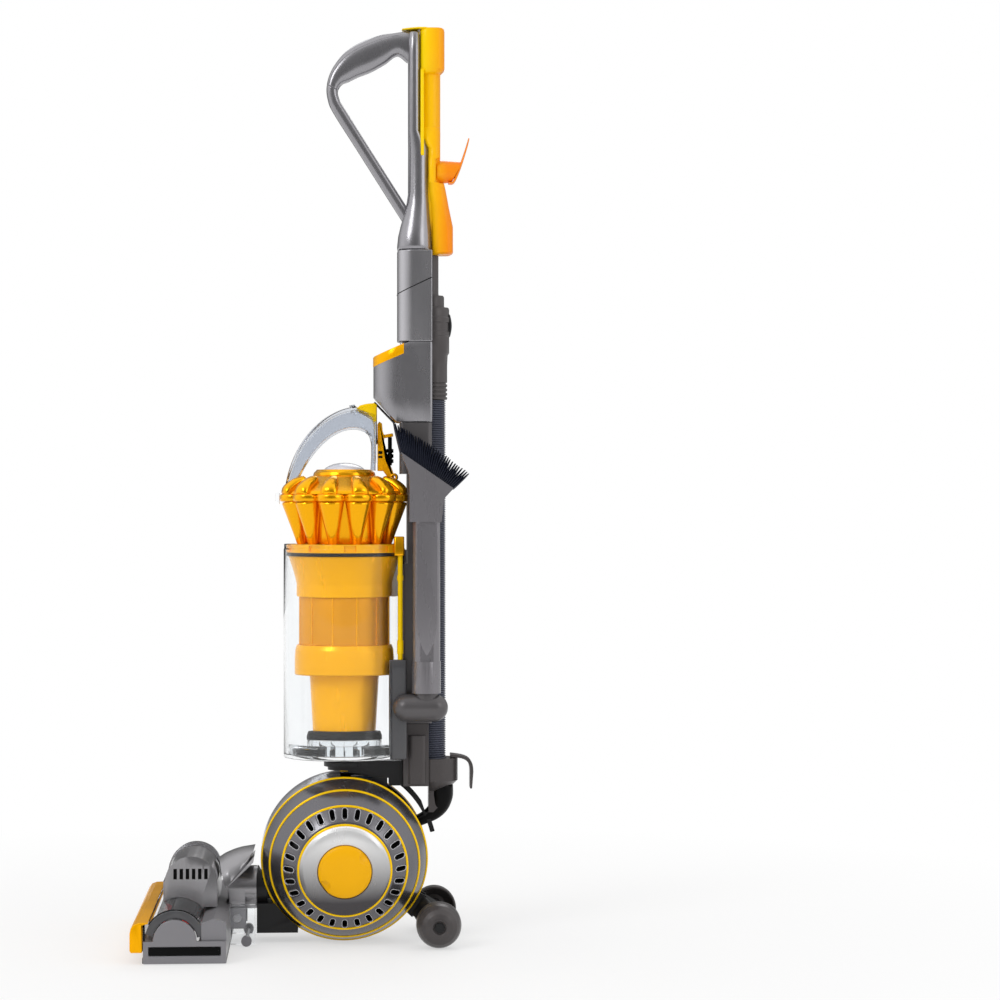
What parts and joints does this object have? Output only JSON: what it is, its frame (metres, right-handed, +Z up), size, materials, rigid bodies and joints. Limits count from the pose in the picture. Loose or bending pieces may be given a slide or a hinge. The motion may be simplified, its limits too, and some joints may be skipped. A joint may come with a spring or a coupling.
{
  "type": "upright vacuum cleaner",
  "caption": "Upright bagless vacuum cleaner on a rolling ball, with a clear dust bin, ring of cyclone cones, lift-off wand with hose, stowed tools, folding stand and wide brush head.",
  "frame": {"origin": "on the floor under the centre of the footprint", "axes": "+Z up, -Y towards the cleaner head in front, +X towards the side with the combination tool"},
  "size_m": [0.35, 0.39, 1.0674],
  "materials": {
    "dark": "matt, nearly black",
    "silver": "glossy silver",
    "mid_grey": "satin grey",
    "light_grey": "matt light grey",
    "yellow": "glossy golden yellow",
    "yellow_gloss": "glossy yellow",
    "clear": "clear polycarbonate, here as glass",
    "motor": "varnished windings and steel",
    "metal": "turned",
    "black_rubber": "matt black",
    "red": "satin red",
    "ball_grey": "dark metallic lacquer",
    "filter_blue": "washable foam and cloth",
    "filter_white": "pleated paper",
    "warm_grey": "satin warm grey",
    "handle_grey": "metallic grey lacquer",
    "hose_grey": "matt blue-grey",
    "shroud_yellow": "glossy orange-yellow",
    "mesh": "fine perforated metal under a yellow light",
    "gold": "satin golden amber"
  },
  "bodies": {
    "chassis": {"yoke": "dark", "centre_shell": "silver"},
    "neck": {"neck_joint": "mid_grey"},
    "head": {"head_body": "light_grey", "sole_plate": "dark", "bumper": "yellow", "brush_window": "clear", "motor_housing": "mid_grey", "brush_motor": "motor", "drive_belt": "black_rubber", "end_caps": "light_grey"},
    "brush": {"brush_bar": "dark", "brush_bristles": "red"},
    "pulley": {"drive_pulley": "metal"},
    "front_wheels": {"sole_wheels": "dark"},
    "back_wheels": {"rear_wheels": "light_grey"},
    "ball_right": {"ball_shell_right": "ball_grey", "ball_rings_right": "yellow_gloss"},
    "cap_right": {"filter_cap_right": "yellow_gloss"},
    "ball_left": {"ball_shell_left": "ball_grey", "ball_rings_left": "yellow_gloss"},
    "cap_left": {"centre_cap_left": "yellow_gloss"},
    "upright": {"motor_bucket": "dark", "vacuum_motor": "motor", "pre_filter": "filter_blue", "post_filter": "filter_white", "cradle": "dark", "valve_housing": "warm_grey", "hose_cup": "warm_grey", "ball_duct": "black_rubber", "lower_hook": "warm_grey", "rear_duct": "mid_grey", "duct_housing": "handle_grey", "mouth_band": "yellow_gloss", "handle_tube": "handle_grey", "tool_holder": "mid_grey", "hose": "hose_grey"},
    "fan": {"impeller": "metal"},
    "button": {"power_button": "red"},
    "stand": {"stand_frame": "dark"},
    "stand_roller_right": {"roller_right": "warm_grey"},
    "stand_roller_left": {"roller_left": "warm_grey"},
    "wand": {"handle_grip": "handle_grey", "wand_cap": "yellow", "hose_cuff": "warm_grey"},
    "cord_hook": {"upper_hook": "yellow"},
    "bin_group": {"bin": "clear", "bin_base": "clear", "base_seal": "black_rubber", "top_seal": "black_rubber", "shroud": "shroud_yellow", "shroud_mesh": "mesh", "inner_cone": "shroud_yellow", "cyclone_cones": "gold", "cyclone_crown": "gold", "carry_arch": "clear"},
    "trigger": {"release_trigger": "yellow"},
    "rod": {"push_rod": "yellow"},
    "tool_right": {"combination_tool": "warm_grey"},
    "tool_left": {"stair_tool": "mid_grey"}
  },
  "joints": [
    {"name": "recline", "type": "hinge", "parent": "chassis", "child": "upright", "pos_m": [0, 0.044, 0.09999], "axis": [-1, 0, 0], "range_deg": [0, 60]},
    {"name": "neck_swivel", "type": "hinge", "parent": "chassis", "child": "neck", "pos_m": [0, -0.0775, 0.06199], "axis": [0, 1, 0], "range_deg": [-25, 25]},
    {"name": "head_pitch", "type": "hinge", "parent": "neck", "child": "head", "pos_m": [0, -0.08, 0.03], "axis": [1, 0, 0], "range_deg": [0, 8]},
    {"name": "brush_spin", "type": "hinge", "parent": "head", "child": "brush", "pos_m": [0, -0.145, 0.025], "axis": [1, 0, 0], "continuous": true},
    {"name": "pulley_spin", "type": "hinge", "parent": "head", "child": "pulley", "pos_m": [0, -0.1315, 0.077], "axis": [1, 0, 0], "continuous": true},
    {"name": "front_wheel_spin", "type": "hinge", "parent": "head", "child": "front_wheels", "pos_m": [0, -0.175, 0.004], "axis": [1, 0, 0], "continuous": true},
    {"name": "rear_wheel_spin", "type": "hinge", "parent": "head", "child": "back_wheels", "pos_m": [0, -0.069, 0.006], "axis": [1, 0, 0], "continuous": true},
    {"name": "ball_spin_right", "type": "hinge", "parent": "chassis", "child": "ball_right", "pos_m": [0, 0.044, 0.09999], "axis": [0.9936, 0, -0.1132], "continuous": true},
    {"name": "cap_turn_right", "type": "hinge", "parent": "ball_right", "child": "cap_right", "pos_m": [0, 0.044, 0.09999], "axis": [0.9936, 0, -0.1132], "range_deg": [0, 45]},
    {"name": "ball_spin_left", "type": "hinge", "parent": "chassis", "child": "ball_left", "pos_m": [0, 0.044, 0.09999], "axis": [-0.9936, 0, -0.1132], "continuous": true},
    {"name": "cap_turn_left", "type": "hinge", "parent": "ball_left", "child": "cap_left", "pos_m": [0, 0.044, 0.09999], "axis": [-0.9936, 0, -0.1132], "range_deg": [0, 45]},
    {"name": "fan_spin", "type": "hinge", "parent": "upright", "child": "fan", "pos_m": [0, 0.044, 0.09999], "axis": [1, 0, 0], "continuous": true},
    {"name": "button_press", "type": "slide", "parent": "upright", "child": "button", "axis": [1, 0, 0], "range_m": [0, 0.0025], "stiffness_N_per_m": 600, "springref_m": -0.001},
    {"name": "stand_fold", "type": "hinge", "parent": "upright", "child": "stand", "pos_m": [0, 0.044, 0.09999], "axis": [1, 0, 0], "range_deg": [0, 50]},
    {"name": "roller_spin_right", "type": "hinge", "parent": "stand", "child": "stand_roller_right", "pos_m": [0, 0.152, 0.026], "axis": [1, 0, 0], "continuous": true},
    {"name": "roller_spin_left", "type": "hinge", "parent": "stand", "child": "stand_roller_left", "pos_m": [0, 0.152, 0.026], "axis": [1, 0, 0], "continuous": true},
    {"name": "wand_lift", "type": "slide", "parent": "upright", "child": "wand", "axis": [0, 0, 1], "range_m": [0, 0.2], "deforming": ["hose"]},
    {"name": "hook_turn", "type": "hinge", "parent": "wand", "child": "cord_hook", "pos_m": [0, 0.16, 0.8994], "axis": [0, 1, 0], "range_deg": [0, 180]},
    {"name": "bin_lift", "type": "slide", "parent": "upright", "child": "bin_group", "axis": [0, -0.9397, 0.3419], "range_m": [0, 0.12]},
    {"name": "trigger_press", "type": "slide", "parent": "bin_group", "child": "trigger", "axis": [0, 0, -1], "range_m": [0, 0.004], "stiffness_N_per_m": 800, "springref_m": -0.001},
    {"name": "rod_push", "type": "slide", "parent": "bin_group", "child": "rod", "axis": [0, 0, -1], "range_m": [0, 0.006], "stiffness_N_per_m": 300, "springref_m": -0.001},
    {"name": "combination_tool_lift", "type": "slide", "parent": "upright", "child": "tool_right", "axis": [0, 0, 1], "range_m": [0, 0.06]},
    {"name": "stair_tool_lift", "type": "slide", "parent": "upright", "child": "tool_left", "axis": [0, 0, 1], "range_m": [0, 0.06]}
  ],
  "couplings": [
    {"joint": "pulley_spin", "follows": "brush_spin", "ratio": 1.75},
    {"joint": "rod_push", "follows": "trigger_press", "ratio": 1.5}
  ]
}
